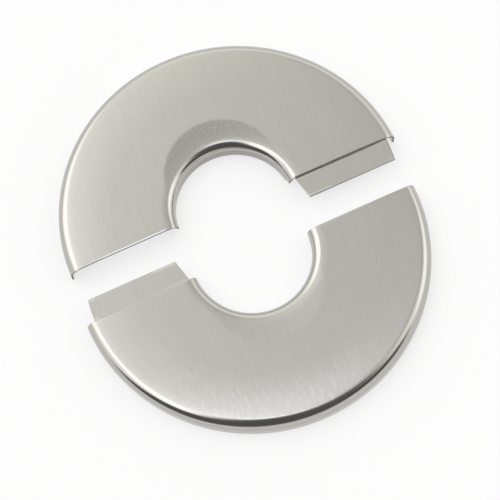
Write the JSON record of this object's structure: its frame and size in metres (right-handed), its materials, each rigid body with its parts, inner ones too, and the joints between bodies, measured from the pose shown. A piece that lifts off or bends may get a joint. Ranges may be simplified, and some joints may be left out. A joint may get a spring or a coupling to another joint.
{
  "type": "split pipe collar",
  "caption": "Round split escutcheon of brushed stainless sheet: half plates with rolled rim, rolled bore and stepped tongues slide together around a heating pipe.",
  "frame": {"origin": "midway between the bore axes of the two halves, on the plane of the rims", "axes": "+Z away from the surface that it covers, +X along the split line, +Y from the front half towards the rear half"},
  "size_m": [0.0864, 0.098, 0.0052],
  "materials": {
    "brushed_sheet": "brushed stainless sheet, grain across the split line"
  },
  "bodies": {
    "rear_half": {"rear_half": "brushed_sheet"},
    "front_half": {"front_half": "brushed_sheet"}
  },
  "joints": [
    {"name": "closing_slide", "type": "slide", "parent": "rear_half", "child": "front_half", "axis": [0.0988, 0.9951, 0], "range_m": [0, 0.01316]}
  ]
}
